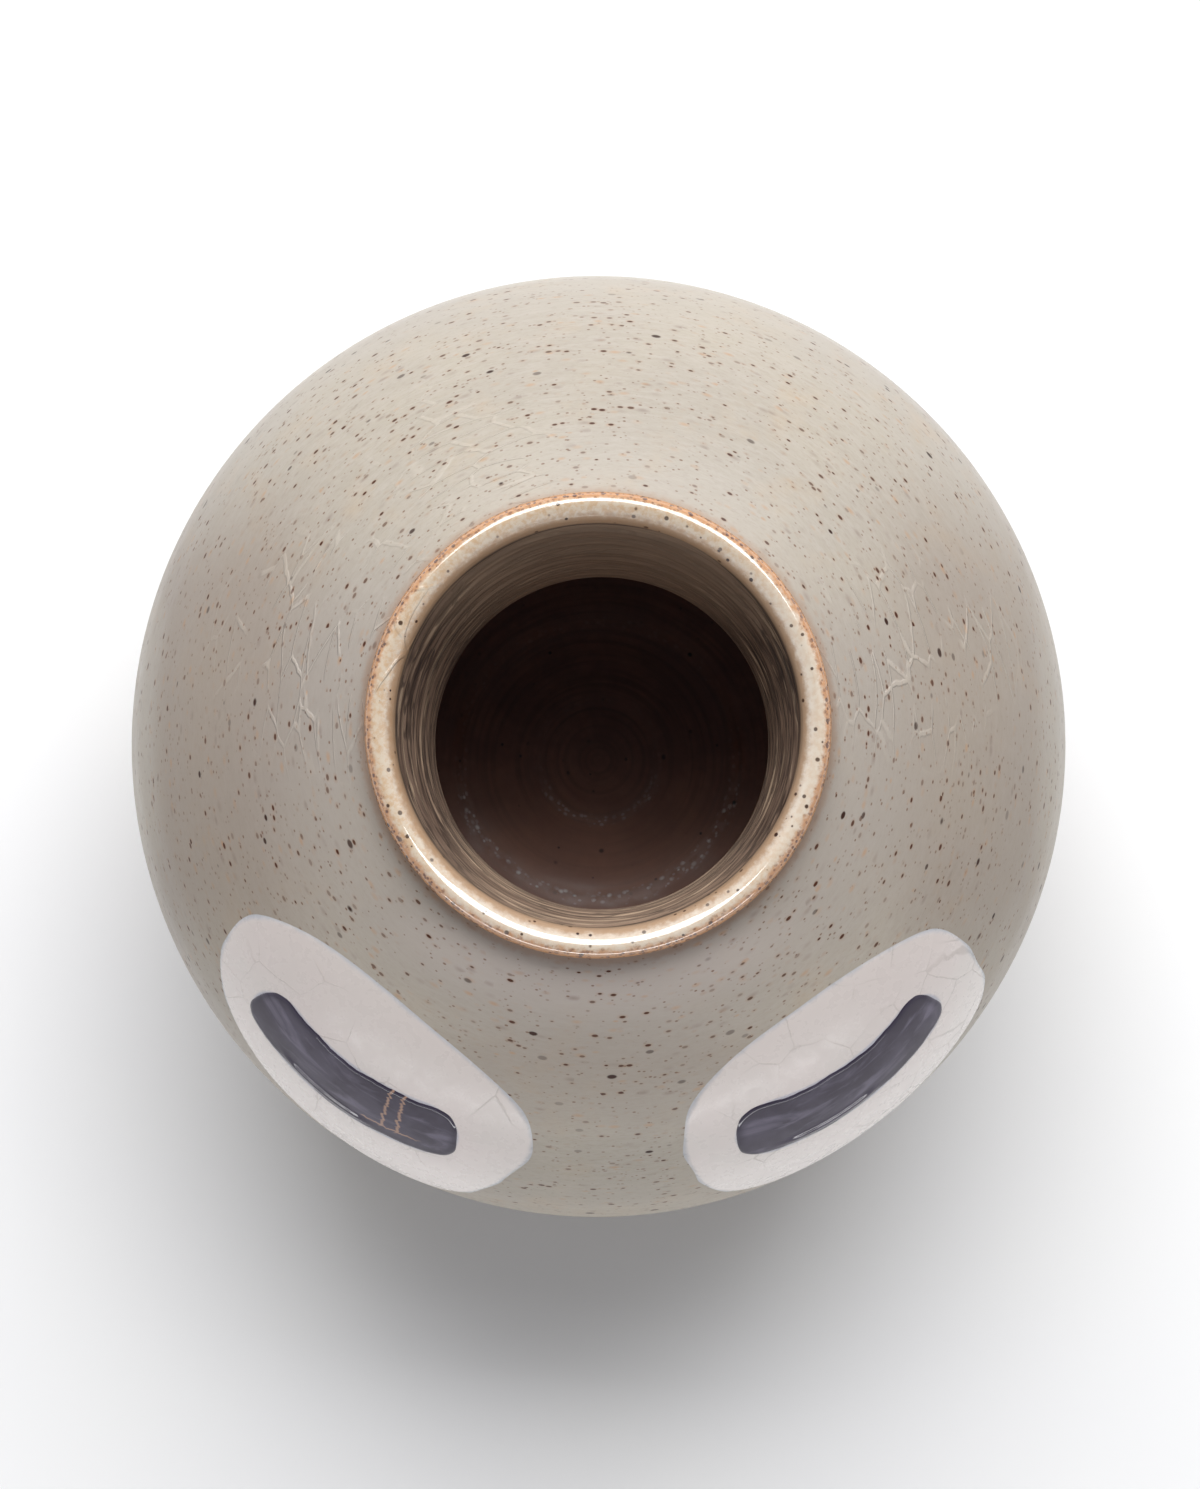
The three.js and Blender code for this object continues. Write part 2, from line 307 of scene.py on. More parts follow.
def run(steps, point):
    """Points of a curve, from the share of the way along it."""
    return np.array([point(t) for t in np.linspace(0.0, 1.0, steps + 1)])


def join(*paths):
    """One path from several that follow each other and share their end points."""
    return np.vstack([paths[0]] + [path[1:] for path in paths[1:]])


def offset(path, distance):
    """Moves a path square to itself, to the right of its direction of travel."""
    along = np.gradient(path, axis=0)
    along /= np.linalg.norm(along, axis=1, keepdims=True)
    normal = np.column_stack([along[:, 1], -along[:, 0]])
    return path + normal * np.reshape(distance, (-1, 1))


def lengths_along(path):
    steps = np.linalg.norm(np.diff(path, axis=0), axis=1)
    return np.concatenate([[0.0], np.cumsum(steps)])


def smooth_step(low, high, value):
    share = np.clip((value - low) / (high - low), 0.0, 1.0)
    return share * share * (3 - 2 * share)


def quarter_round(share):
    """Height of a quarter circle from its foot at 0 to its top at 1."""
    return np.sqrt(1 - (1 - np.clip(share, 0.0, 1.0)) ** 2)


def hump(value, middle, width):
    return np.exp(-((value - middle) / width) ** 2)


def waves(turn, terms):
    """Sum of sine waves, each with a size, an order and a shift."""
    return sum(size * np.sin(order * turn + shift) for size, order, shift in terms)


def signed_power(value, power):
    return np.sign(value) * np.abs(value) ** power


def bowl_point(angle):
    return (CLAY_RADIUS * math.cos(angle), BELLY_LEVEL - CLAY_DROP * math.sin(angle))


def shoulder_curve(widest, rise, inner, t):
    angle = t * math.acos(inner / widest)
    return (widest * math.cos(angle), BELLY_LEVEL + rise * math.sin(angle))


def inside_level(r):
    share = (1 - (r / INSIDE_RADIUS) ** INSIDE_FULLNESS) ** (1 / INSIDE_FULLNESS)
    return BELLY_LEVEL - (BELLY_LEVEL - FLOOR_LEVEL) * share


def inside_bowl(steps):
    """The inside from the widest circle down to the axis."""
    angles = np.linspace(0.0, math.pi / 2, steps + 1)
    radii = INSIDE_RADIUS * np.cos(angles) ** (2 / INSIDE_FULLNESS)
    radii[-1] = 0.0
    return np.column_stack([radii, [inside_level(r) for r in radii]])


def bore_curve(t):
    radius = BORE_TOP + (THROAT_RADIUS - BORE_TOP) * (1 - (1 - t) ** BORE_HOLLOW)
    return (radius, LIP_SPRING - BORE_DEPTH * t)


def lip_curve(t):
    """The lip from outside to inside, a little keener than a half circle and leaning outward."""
    across = math.cos(t * math.pi)
    above = math.sin(t * math.pi)
    power = 2 / LIP_FULLNESS
    radius = LIP_CENTRE + LIP_ROUND * signed_power(across, power) + LIP_LEAN * above
    return (radius, LIP_SPRING + LIP_ROUND * max(above, 0.0) ** power)


def neck_outside():
    """The clay from the seat on the shoulder over the lip to the top of the bore."""
    depth = math.sqrt(1 - (SEAT_RADIUS / CLAY_RADIUS) ** 2)
    slope = CLAY_RISE * SEAT_RADIUS / (CLAY_RADIUS ** 2 * depth)
    start = np.array([SEAT_RADIUS, SEAT_LEVEL])
    bend = np.array([WAIST_RADIUS, SEAT_LEVEL + NECK_FILLET * slope])
    end = np.array([WAIST_RADIUS, WAIST_LEVEL])
    rise = LIP_SPRING - WAIST_LEVEL
    fillet = run(28, lambda t: (1 - t) ** 2 * start + 2 * t * (1 - t) * bend + t ** 2 * end)
    flare = run(20, lambda t: (WAIST_RADIUS + LIP_FLARE * t ** 2, WAIST_LEVEL + rise * t))
    return join(fillet, flare, run(48, lip_curve))


# Clay curves that several pieces share
BOWL = run(60, lambda t: bowl_point(FOOT_ANGLE * (1 - t)))
SHOULDER = run(90, lambda t: shoulder_curve(CLAY_RADIUS, CLAY_RISE, SEAT_RADIUS, t))
NECK = neck_outside()
INSIDE_DOME = run(50, lambda t: shoulder_curve(INSIDE_RADIUS, INSIDE_RISE,
                                               OPENING_RADIUS + LINER_SETBACK, 1 - t))


def hand_thrown(points):
    """Draws the true circles a little out of round, as a thrown pot is."""
    x, y, z = points.T
    angle = np.arctan2(y, x)
    radius = np.hypot(x, y)
    girth = np.clip(radius / BELLY_RADIUS, 0.0, 1.0) ** 4
    oval = BELLY_OVAL * (1 + np.cos(2 * angle))
    wobble = BELLY_WOBBLE * (1 + np.cos(3 * angle + 0.8 + 0.04 * z))
    scale = 1 - girth * (oval + wobble) / np.maximum(radius, 1.0)
    sag = smooth_step(LIP_LEVEL - SAG_DEPTH, LIP_LEVEL, z) * (LIP_DIP + waves(angle, LIP_WAVES))
    return np.column_stack([x * scale, y * scale, z - sag])


def turned(profile_at, closed):
    """Points and faces of a profile turned about Z. The profile may change with the angle."""
    angles = np.linspace(0.0, 2 * math.pi, TURN_STEPS, endpoint=False)
    rings = np.array([profile_at(angle) for angle in angles])
    count = rings.shape[1]
    points = np.empty((TURN_STEPS, count, 3))
    points[:, :, 0] = rings[:, :, 0] * np.cos(angles)[:, None]
    points[:, :, 1] = rings[:, :, 0] * np.sin(angles)[:, None]
    points[:, :, 2] = rings[:, :, 1]
    on_axis = np.all(rings[:, :, 0] < 1e-6, axis=0)
    index = np.arange(TURN_STEPS * count).reshape(TURN_STEPS, count)
    index[:, on_axis] = index[0, on_axis]
    faces = []
    spans = count if closed else count - 1
    for i in range(spans):
        after = (i + 1) % count
        for j in range(TURN_STEPS):
            beside = (j + 1) % TURN_STEPS
            corners = [index[j, i], index[beside, i], index[beside, after], index[j, after]]
            face = list(dict.fromkeys(int(corner) for corner in corners))
            if len(face) > 2:
                faces.append(face)
    return points.reshape(-1, 3), faces


def add_piece(name, points, faces, material, node, attributes=None):
    """Makes a mesh of points in millimetres that stands for a node of the vase."""
    used = np.unique(np.concatenate([np.asarray(face) for face in faces]))
    renumber = np.full(len(points), -1)
    renumber[used] = np.arange(len(used))
    kept = hand_thrown(points[used]) / 1000
    mesh = bpy.data.meshes.new(name)
    mesh.from_pydata(kept.tolist(), [], [[int(renumber[i]) for i in face] for face in faces])
    for key, values in (attributes or {}).items():
        layer = mesh.attributes.new(key, "FLOAT", "POINT")
        layer.data.foreach_set("value", np.asarray(values, dtype=np.float32)[used])
    mesh.shade_smooth()
    mesh.set_sharp_from_angle(angle=math.radians(50))
    mesh.materials.append(material)
    mesh.update()
    piece = bpy.data.objects.new(name, mesh)
    bpy.context.scene.collection.objects.link(piece)
    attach(piece, "root")
    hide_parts(node)
    return piece


def colour(red, green, blue):
    """Linear colour of a screen colour, each part from 0 to 255."""
    parts = [part / 255 for part in (red, green, blue)]
    linear = [p / 12.92 if p <= 0.04045 else ((p + 0.055) / 1.055) ** 2.4 for p in parts]
    return (*linear, 1.0)


class Nodes:
    """Short ways to add nodes to a tree. A value is a number, a vector or the output of a node."""

    def __init__(self, tree):
        self.tree = tree

    def add(self, kind, **settings):
        node = self.tree.nodes.new(kind)
        for key, value in settings.items():
            setattr(node, key, value)
        return node

    def feed(self, socket, value):
        if isinstance(value, bpy.types.NodeSocket):
            self.tree.links.new(value, socket)
        else:
            socket.default_value = value

    def math(self, operation, a, b=0.0):
        node = self.add("ShaderNodeMath", operation=operation)
        self.feed(node.inputs[0], a)
        self.feed(node.inputs[1], b)
        return node.outputs[0]

    def times(self, a, b):
        return self.math("MULTIPLY", a, b)

    def plus(self, a, b):
        return self.math("ADD", a, b)

    def minus(self, a, b):
        return self.math("SUBTRACT", a, b)

    def larger(self, a, b):
        return self.math("MAXIMUM", a, b)

    def gap(self, a, b):
        return self.math("ABSOLUTE", self.minus(a, b))

    def length(self, a, b):
        return self.math("SQRT", self.plus(self.times(a, a), self.times(b, b)))

    def vector(self, operation, a, b=(0.0, 0.0, 0.0)):
        node = self.add("ShaderNodeVectorMath", operation=operation)
        self.feed(node.inputs[0], a)
        if operation == "SCALE":
            self.feed(node.inputs["Scale"], b)
        elif operation != "NORMALIZE":
            self.feed(node.inputs[1], b)
        return node.outputs["Value" if operation == "DOT_PRODUCT" else "Vector"]

    def combine(self, x, y, z):
        node = self.add("ShaderNodeCombineXYZ")
        for socket, value in zip(node.inputs, (x, y, z)):
            self.feed(socket, value)
        return node.outputs[0]

    def ramp(self, value, low, high, start=0.0, end=1.0):
        """Smooth change from start at low to end at high."""
        node = self.add("ShaderNodeMapRange", interpolation_type="SMOOTHSTEP")
        for socket, given in zip(node.inputs, (value, low, high, start, end)):
            self.feed(socket, given)
        return node.outputs[0]

    def apart(self, place):
        """The three parts of a place."""
        node = self.add("ShaderNodeSeparateXYZ")
        self.feed(node.inputs[0], place)
        return node.outputs


class Surface(Nodes):
    """A material with its palette. Places are in millimetres."""

    def __init__(self, name, palette):
        self.palette = {key: colour(*parts) for key, parts in palette.items()}
        self.material = bpy.data.materials.new(name)
        self.material.use_nodes = True
        super().__init__(self.material.node_tree)
        self.tree.nodes.clear()
        self.shader = self.add("ShaderNodeBsdfPrincipled")
        output = self.add("ShaderNodeOutputMaterial")
        self.feed(output.inputs["Surface"], self.shader.outputs["BSDF"])
        place = self.add("ShaderNodeTexCoord").outputs["Object"]
        self.place = self.vector("SCALE", place, 1000.0)
        self.x, self.y, self.z = self.apart(self.place)
        self.radius = self.length(self.x, self.y)
        turn = self.combine(self.times(self.y, -1.0), self.x, 0.0)
        self.tangent = self.vector("NORMALIZE", turn)
        above = self.minus(self.z, BELLY_LEVEL)
        self.latitude = self.times(self.math("ARCTAN2", above, self.radius), 50.0)

    def set(self, **values):
        for key, value in values.items():
            self.feed(self.shader.inputs[key.replace("_", " ")], value)

    def mix(self, share, a, b):
        """Colour from a at share 0 to b at share 1. A name is a colour of the palette."""
        node = self.add("ShaderNodeMix", data_type="RGBA")
        self.feed(node.inputs[0], share)
        for socket, value in zip(node.inputs[6:8], (a, b)):
            self.feed(socket, self.palette[value] if isinstance(value, str) else value)
        return node.outputs[2]

    def noise(self, place, scale, detail=2.0, rough=0.5, distortion=0.0):
        node = self.add("ShaderNodeTexNoise")
        self.feed(node.inputs["Vector"], place)
        self.feed(node.inputs["Scale"], scale)
        self.feed(node.inputs["Detail"], detail)
        self.feed(node.inputs["Roughness"], rough)
        self.feed(node.inputs["Distortion"], distortion)
        return node.outputs[0]

    def stretched(self, across, along):
        """Place for streaks that run round the axis: scale across the surface and round it."""
        return self.combine(self.times(self.x, along), self.times(self.y, along),
                            self.times(self.latitude, across))

    def attribute(self, name):
        return self.add("ShaderNodeAttribute", attribute_name=name).outputs["Fac"]

    def specks(self, cell, small, large, stretch, share, seed, soft=0.45, grow=1.0, faint=0.35):
        """Mask of scattered specks, drawn out round the axis, one to a cell at most."""
        place = self.vector("ADD", self.place, (seed * 17.3, seed * 5.1, seed * 9.7))
        cells = self.add("ShaderNodeTexVoronoi")
        self.feed(cells.inputs["Vector"], place)
        self.feed(cells.inputs["Scale"], 1 / cell)
        away = self.vector("SUBTRACT", place, cells.outputs["Position"])
        along = self.vector("DOT_PRODUCT", away, self.tangent)
        square = self.vector("DOT_PRODUCT", away, away)
        eased = self.times(self.times(along, along), 1 - 1 / stretch ** 2)
        distance = self.math("SQRT", self.larger(self.minus(square, eased), 0.0))
        dice = self.add("ShaderNodeSeparateColor")
        self.feed(dice.inputs[0], cells.outputs["Color"])
        reach = self.ramp(dice.outputs[0], 0.0, 1.0, small * grow, large * grow)
        core = self.times(reach, soft)
        mask = self.ramp(distance, reach, core)
        chosen = self.math("LESS_THAN", dice.outputs[1], share)
        depth = self.ramp(dice.outputs[2], 0.0, 1.0, faint, 1.0)
        return self.times(self.times(mask, chosen), depth)

    def crackle(self, place, width, wander):
        """Mask of fine crack lines between cells about one unit of place across."""
        drift = self.add("ShaderNodeTexNoise")
        self.feed(drift.inputs["Vector"], place)
        self.feed(drift.inputs["Scale"], 2.2)
        bent = self.vector("SUBTRACT", drift.outputs["Color"], (0.5, 0.5, 0.5))
        cells = self.add("ShaderNodeTexVoronoi", feature="DISTANCE_TO_EDGE")
        self.feed(cells.inputs["Vector"], self.vector("ADD", place, self.vector("SCALE", bent, wander)))
        self.feed(cells.inputs["Scale"], 1.0)
        return self.ramp(cells.outputs["Distance"], width, 0.3 * width)

    def near(self, x, y, reach):
        """Mask that fades away from an upright line through the surface."""
        distance = self.length(self.minus(self.x, x), self.minus(self.y, y))
        return self.ramp(distance, reach, 0.4 * reach)

    def bump(self, height):
        """Height in millimetres on the surface."""
        node = self.add("ShaderNodeBump")
        node.inputs["Distance"].default_value = 0.001
        self.feed(node.inputs["Height"], height)
        self.feed(self.shader.inputs["Normal"], node.outputs["Normal"])


def cream_body(s, streak):
    """Cream of the belly with its clouds and streaks and its slow changes of tone, darkened with
    painted shade on the flanks, beside the neck and at the front, and lightened with painted light just
    in front of the lip.
    """
    broad = s.noise(s.place, 0.035, 3.0)
    cloud = s.noise(s.place, 0.12, 4.0, 0.6)
    grain = s.noise(s.stretched(5.0, 1.3), 1.0, 3.0, 0.6)
    body = s.mix(s.ramp(broad, 0.38, 0.66), "cream", "warm_cream")
    body = s.mix(s.ramp(cloud, 0.52, 0.80, 0.0, 0.35), body, "cloud")
    body = s.mix(s.ramp(streak, 0.36, 0.72, 0.0, 0.26), body, "streak")
    body = s.mix(s.ramp(grain, 0.46, 0.74, 0.0, 0.26), body, "grain")

    # Painted shade: the flanks left and right of the front are darkened.
    left = s.times(s.ramp(s.x, -24.0, -38.0, 0.0, 0.6), s.ramp(s.x, -53.0, -48.0))
    right = s.times(s.ramp(s.x, 26.0, 38.0, 0.0, 0.5), s.ramp(s.x, 53.0, 48.0))
    abreast = s.ramp(s.math("ABSOLUTE", s.y), 34.0, 14.0)
    body = s.mix(s.times(s.plus(left, right), abreast), body, "painted_side_shade")
    # Painted shade: the glaze beside the neck is darker and greyer at the front and sides, less so at
    # the back.
    painted_neck_shade = s.times(s.ramp(s.radius, 43.0, 29.0, 0.0, 0.6), s.ramp(s.y, 24.0, 6.0, 0.1, 1.0))
    body = s.mix(painted_neck_shade, body, "painted_neck_shade")
    # Painted light: the glaze just in front of the lip is lightened against the shade the lip and neck
    # cast there.
    painted_lip_front_light = s.times(s.ramp(s.y, -18.0, -26.0), s.ramp(s.radius, 34.0, 27.0, 0.0, 0.6))
    body = s.mix(painted_lip_front_light, body, "painted_lip_front_light")
    # Painted shade: the front of the belly, inside its outline, is darkened.
    front = s.times(s.ramp(s.y, -30.0, -37.0, 0.0, 0.35), s.ramp(s.radius, 47.0, 42.0))
    return s.mix(front, body, "front")


def iron_specks(s, body, large):
    """Specks in the body, from soft rust to the large dark ones."""
    rust = s.specks(1.3, 0.18, 0.38, 2.6, 0.55, 5, soft=0.0)
    body = s.mix(s.times(rust, 0.46), body, "rust")
    smear = s.specks(1.5, 0.20, 0.42, 2.8, 0.50, 7, soft=0.0)
    body = s.mix(s.times(smear, 0.44), body, "smear")
    dust = s.specks(0.56, 0.08, 0.14, 1.9, 0.60, 3, soft=0.5)
    body = s.mix(s.times(dust, 0.75), body, "dust")
    halo = s.specks(1.0, 0.11, 0.21, 2.2, 0.62, 1, soft=0.1, grow=1.9)
    body = s.mix(s.times(halo, 0.36), body, "halo")
    iron = s.specks(1.0, 0.11, 0.21, 2.2, 0.62, 1, soft=0.6)
    body = s.mix(iron, body, "iron")
    return s.mix(large, body, "large_iron")


def craze_lines(s):
    """Mask of the fine craze lines in three patches of the shoulder."""
    patches = s.larger(s.near(-29.0, 9.0, 17.0), s.near(35.0, 8.0, 15.0))
    patches = s.larger(patches, s.times(s.near(-14.0, 30.0, 14.0), 0.6))
    broken = s.ramp(s.noise(s.place, 0.14, 2.0), 0.41, 0.50)
    lines = s.crackle(s.stretched(0.45, 0.13), 0.048, 0.10)
    return s.times(lines, s.times(patches, broken))


def lip_glaze(s, crest, patchy):
    """Glaze of the lip: pale on the crest, brown and peppered outside, dull inside, and lightened on
    its front and right with painted light.
    """
    side = s.plus(crest, s.times(patchy, 0.9))
    cloud = s.noise(s.place, 1.5, 4.0, 0.65)
    lip = s.mix(s.ramp(cloud, 0.36, 0.66), "lip", "warm_lip")
    # Painted light: the lip is paler on its front and on its right side.
    pale = s.larger(s.ramp(s.y, -11.0, -22.0, 0.0, 0.42), s.ramp(s.x, 11.0, 22.0, 0.0, 0.42))
    lip = s.mix(pale, lip, "painted_lip_light")
    outer = s.ramp(side, 0.28, 0.72)
    lip = s.mix(s.times(outer, 0.95), lip, "outer_lip")
    lip = s.mix(s.ramp(side, -0.32, -0.85, 0.0, 0.85), lip, "inner_lip")
    pepper = s.specks(0.50, 0.20, 0.34, 1.0, 0.85, 8, soft=0.5, faint=0.5)
    lip = s.mix(s.times(pepper, s.times(outer, 0.95)), lip, "pepper")
    dots = s.specks(1.15, 0.17, 0.33, 1.0, 0.60, 9, soft=0.6, faint=0.75)
    return s.mix(dots, lip, "dots")


def speckled_glaze():
    """Coat of belly, neck and lip, with a glassy crest on the lip."""
    s = Surface("speckled_glaze", SPECKLED)
    streak = s.noise(s.stretched(1.8, 0.35), 1.0, 4.0, 0.6)
    large = s.specks(2.6, 0.22, 0.34, 2.0, 0.42, 2, soft=0.6)
    body = iron_specks(s, cream_body(s, streak), large)
    craze = craze_lines(s)
    body = s.mix(s.times(craze, 0.16), body, "craze")
    patchy = s.minus(s.noise(s.place, 1.1, 4.0, 0.65), 0.5)
    # Painted shade: a warm, darker ring in the crease round the foot of the neck, just outside the lip.
    neck_ring_shade = s.ramp(s.plus(s.radius, patchy), 26.3, 25.4, 0.0, 0.40)
    body = s.mix(neck_ring_shade, body, "neck_ring_shade")

    crest = s.math("DIVIDE", s.minus(s.radius, LIP_CENTRE), LIP_THICKNESS / 2)
    on_lip = s.ramp(s.plus(s.z, patchy), LIP_LEVEL - 2.9, LIP_LEVEL - 1.9)
    surface = s.mix(on_lip, body, lip_glaze(s, crest, patchy))
    # The glaze where it turns into the bore is darker: partly a darker glaze and partly painted shade
    # under the lip.
    within = s.math("LESS_THAN", crest, -0.4)
    turned_in_and_shade = s.times(within, s.ramp(s.z, LIP_SPRING - 0.2, LIP_SPRING - 0.8))
    s.set(Base_Color=s.mix(turned_in_and_shade, surface, "turned_in_and_shade"))

    ridge = s.times(s.ramp(crest, -0.72, -0.50), s.ramp(crest, 1.0, 0.8))
    glassy = s.times(on_lip, ridge)
    gloss = s.ramp(streak, 0.3, 0.7, 0.30, 0.42)
    s.set(Roughness=s.times(gloss, s.ramp(glassy, 0.0, 1.0, 1.0, 0.2)))
    s.set(IOR=1.36, Coat_Weight=glassy, Coat_Roughness=0.04, Coat_IOR=1.85)
    relief = s.plus(s.times(craze, 0.09), s.times(streak, 0.014))
    relief = s.minus(relief, s.times(large, 0.03))
    ripple = s.times(s.noise(s.place, 0.3, 2.0), s.ramp(on_lip, 0.0, 1.0, 0.06, 0.01))
    s.bump(s.plus(relief, ripple))
    return s.material


def washed_clay():
    """Bare clay of the bore with light and dark throwing lines, painted light on its walls, strongest
    at the back, and a darker top that is partly darker clay and partly painted shade.
    """
    s = Surface("washed_clay", WASHED)
    fine = s.noise(s.stretched(2.6, 0.05), 1.0, 4.0, 0.7)
    wide = s.noise(s.stretched(1.2, 0.05), 1.0, 3.0, 0.6)
    tight = s.noise(s.stretched(4.5, 0.12), 1.0, 2.0, 0.5)
    swirl = s.noise(s.stretched(1.5, 0.07), 1.0, 3.0, 0.6)
    swirls = s.ramp(s.gap(swirl, 0.5), 0.035, 0.012)
    clay = s.mix(s.ramp(wide, 0.34, 0.68), "clay", "light_clay")
    clay = s.mix(s.ramp(fine, 0.53, 0.63, 0.0, 0.75), clay, "light_lines")
    clay = s.mix(s.ramp(fine, 0.47, 0.38, 0.0, 0.8), clay, "dark_lines")
    clay = s.mix(s.ramp(tight, 0.55, 0.62, 0.0, 0.75), clay, "tight_lines")
    clay = s.mix(s.times(swirls, 0.7), clay, "swirls")
    # Darker top of the bore under the lip: partly darker clay and partly painted shade.
    top = s.ramp(s.z, LIP_SPRING - 3.4, LIP_SPRING - 1.2)
    clay = s.mix(s.times(top, 0.6), clay, "top")
    # Painted light: the walls of the bore are lightened, strongly at the back and a little at the
    # front.
    painted_bore_light = s.plus(s.ramp(s.y, 8.0, 18.0, 0.0, 0.62), s.ramp(s.y, -8.0, -18.0, 0.0, 0.16))
    s.set(Base_Color=s.mix(painted_bore_light, clay, "painted_bore_light"))
    s.set(Roughness=s.ramp(fine, 0.3, 0.7, 0.55, 0.8))
    s.bump(s.minus(s.times(fine, 0.06), s.times(swirls, 0.04)))
    return s.material


def stoneware_clay():
    """Bare fired clay of the belly and the foot."""
    s = Surface("stoneware_clay", STONEWARE)
    cloud = s.noise(s.place, 0.14, 4.0, 0.6)
    grit = s.noise(s.place, 3.0, 3.0, 0.7)
    ring = s.noise(s.stretched(1.6, 0.08), 1.0, 3.0)
    clay = s.mix(s.ramp(cloud, 0.34, 0.68), "buff", "tan")
    clay = s.mix(s.ramp(ring, 0.35, 0.7, 0.0, 0.35), clay, "rings")
    clay = s.mix(s.ramp(grit, 0.5, 0.75, 0.0, 0.35), clay, "grit")
    iron = s.specks(1.8, 0.08, 0.26, 1.3, 0.55, 2)
    s.set(Base_Color=s.mix(s.times(iron, 0.85), clay, "iron"))
    s.set(Roughness=s.ramp(grit, 0.3, 0.7, 0.75, 0.92))
    s.bump(s.plus(s.times(grit, 0.12), s.times(ring, 0.10)))
    return s.material


def dark_liner():
    """Brown coat of the inside, lightened at the front with painted light, and with painted glints as
    pale spots along the steps of the floor.
    """
    s = Surface("dark_liner", LINER)
    cloud = s.noise(s.place, 0.16, 4.0, 0.6)
    ring = s.noise(s.stretched(1.1, 0.05), 1.0, 3.0)
    glaze = s.mix(s.ramp(cloud, 0.35, 0.7), "brown", "light_brown")
    glaze = s.mix(s.ramp(ring, 0.4, 0.7, 0.0, 0.45), glaze, "rings")
    # Painted light: the front of the floor is lightened where light through the mouth falls on it.
    glaze = s.mix(s.ramp(s.y, 2.0, -13.0, 0.0, 0.38), glaze, "front")
    pits = s.specks(1.9, 0.2, 0.42, 1.2, 0.4, 6, soft=0.3)
    glaze = s.mix(pits, glaze, "pits")
    wander = s.times(s.minus(s.noise(s.place, 0.22, 2.0), 0.5), 1.6)
    ragged = s.plus(s.radius, wander)
    (inner_radius, _, _), (outer_radius, _, _) = LINER_STEPS
    # Painted glints: pale spots along the steps of the floor, strong at the front and faint behind,
    # where light through the mouth would catch them.
    outer = s.ramp(s.gap(ragged, outer_radius), 1.1, 0.3)
    inner = s.ramp(s.gap(ragged, inner_radius), 0.9, 0.2, 0.0, 0.45)
    bands = s.times(s.larger(outer, inner), s.ramp(s.y, 2.0, -9.0, 0.06, 1.0))
    painted_glints = s.larger(s.specks(0.66, 0.22, 0.44, 1.4, 0.88, 4, soft=0.2, faint=0.5), 0.12)
    clumps = s.ramp(s.noise(s.place, 0.5, 2.0), 0.40, 0.54, 0.30, 1.0)
    broken = s.times(s.times(bands, painted_glints), clumps)
    s.set(Base_Color=s.mix(s.times(broken, 0.95), glaze, "painted_glints"))
    s.set(Roughness=s.ramp(cloud, 0.3, 0.7, 0.30, 0.42))
    s.set(IOR=1.45)
    s.bump(s.times(s.noise(s.place, 0.55, 2.0, 0.5), 0.03))
    return s.material


def white_glaze():
    """Glaze of the panels: darkened towards the top with painted shade, lightened below with painted
    light, with fine cracks.
    """
    s = Surface("white_glaze", WHITE)
    rim = s.attribute("rim")
    near_bar = s.attribute("near_bar")
    cloud = s.noise(s.place, 0.10, 3.0)
    fine = s.noise(s.place, 0.6, 3.0, 0.6)
    glaze = s.mix(s.ramp(cloud, 0.36, 0.66), "white", "cool_white")
    glaze = s.mix(s.ramp(fine, 0.4, 0.75, 0.0, 0.25), glaze, "mottle")
    above = s.minus(s.z, BELLY_LEVEL + PANEL_RISE)
    # Painted light: the panel is lighter towards its lower end.
    glaze = s.mix(s.ramp(above, 2.0, -8.0, 0.0, 0.7), glaze, "painted_low_light")
    # Painted shade: the panel is darker towards its upper end.
    glaze = s.mix(s.ramp(above, -1.0, 8.0, 0.0, 0.75), glaze, "painted_top_shade")
    patches = s.ramp(s.noise(s.place, 0.09, 2.0), 0.45, 0.60)
    cracks = s.times(s.crackle(s.vector("SCALE", s.place, 0.15), 0.016, 0.12), patches)
    glaze = s.mix(s.times(cracks, 0.34), glaze, "cracks")
    halo = s.ramp(near_bar, 0.45, 0.0)
    glaze = s.mix(s.times(halo, 0.55), glaze, "bar_halo")
    uneven = s.minus(s.noise(s.place, 0.8, 3.0), 0.5)
    inward = s.plus(rim, s.times(uneven, 0.5))
    s.set(Base_Color=s.mix(s.ramp(inward, 0.85, 0.15, 0.0, 0.65), glaze, "rim"))
    s.set(Roughness=s.ramp(fine, 0.3, 0.7, 0.24, 0.34))
    s.set(IOR=1.5)
    s.bump(s.times(cracks, 0.02))
    return s.material


def bar_cracks(s, along, across):
    """Mask of two cracks across a bar and one along it."""
    jag = s.minus(s.noise(s.combine(0.0, across, 0.0), 1.3, 4.0, 0.7), 0.5)
    lean = s.plus(along, s.times(jag, 2.2))
    first = s.ramp(s.gap(lean, 5.6), 0.24, 0.08)
    second = s.ramp(s.gap(lean, 7.4), 0.26, 0.08)
    cracks = s.times(s.larger(first, second), s.ramp(across, -2.8, -2.2))
    ripple = s.minus(s.noise(s.combine(along, 0.0, 0.0), 0.9, 3.0, 0.6), 0.5)
    level = s.plus(across, s.times(ripple, 1.2))
    lengthwise = s.ramp(s.gap(level, -2.3), 0.16, 0.06)
    stretch = s.times(s.ramp(along, 3.0, 3.6), s.ramp(along, 10.5, 8.5))
    return s.larger(cracks, s.times(lengthwise, stretch))


